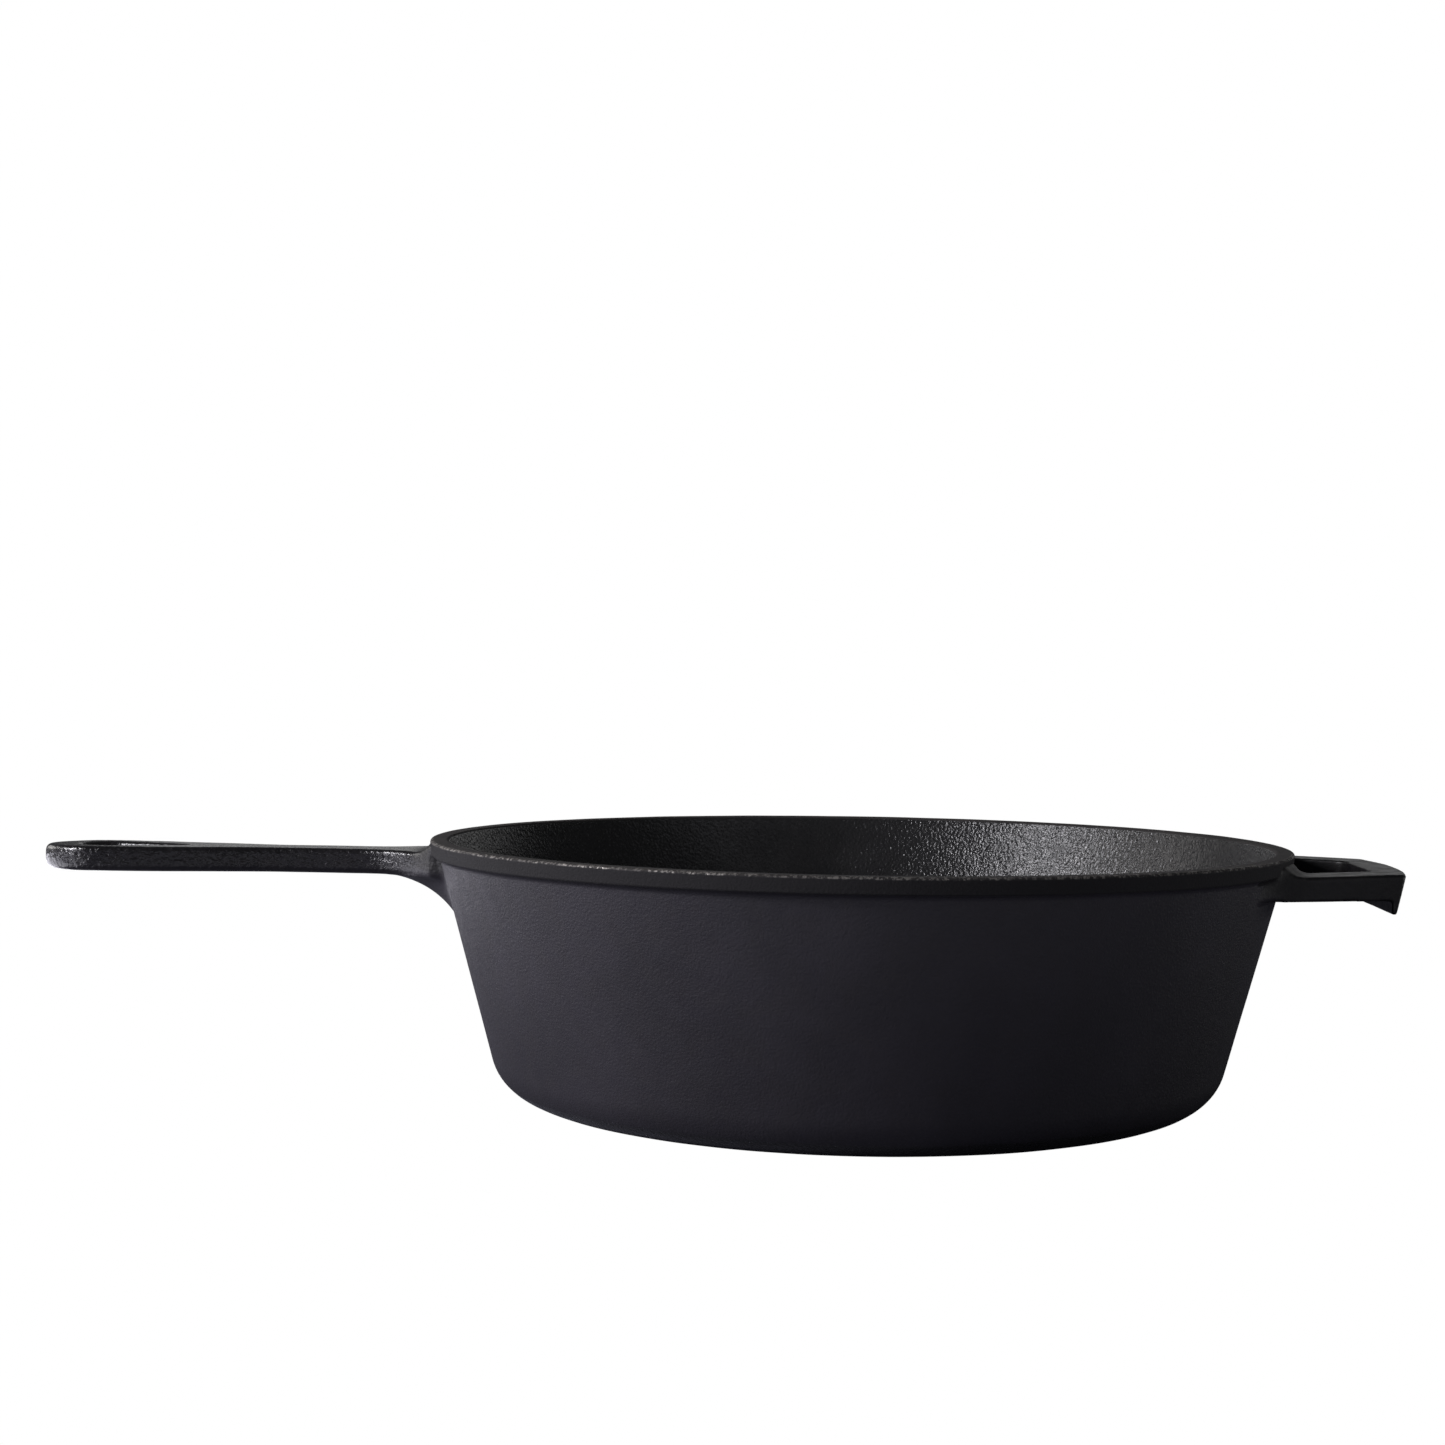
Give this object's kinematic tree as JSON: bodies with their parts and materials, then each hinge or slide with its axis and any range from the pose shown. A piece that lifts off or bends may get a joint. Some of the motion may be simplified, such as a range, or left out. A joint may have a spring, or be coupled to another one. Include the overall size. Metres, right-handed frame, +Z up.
{
  "type": "cast iron dutch oven",
  "caption": "Deep round cast iron dutch oven, open at the top, with a tapered wall, a rim band, a long slotted handle and a helper loop whose end turns down.",
  "frame": {"origin": "centre of the flat base, on the surface that the pan stands on", "axes": "+Z up out of the bowl; +X from the centre towards the helper loop, so the long handle points along -X"},
  "size_m": [0.4844, 0.3038, 0.09],
  "materials": {
    "bowl_iron": "matte seasoned black, fine sand-cast grain",
    "rim_iron": "seasoned black, worn to bare iron along its edges",
    "handle_iron": "satin seasoned black with coarse grain",
    "helper_iron": "matte seasoned black"
  },
  "bodies": {
    "root": {"pan_floor": "bowl_iron", "heel": "bowl_iron", "side_wall": "bowl_iron", "rim_band": "rim_iron", "long_handle": "handle_iron", "handle_root_web": "handle_iron", "helper_handle": "helper_iron", "helper_lip": "helper_iron"}
  },
  "joints": []
}
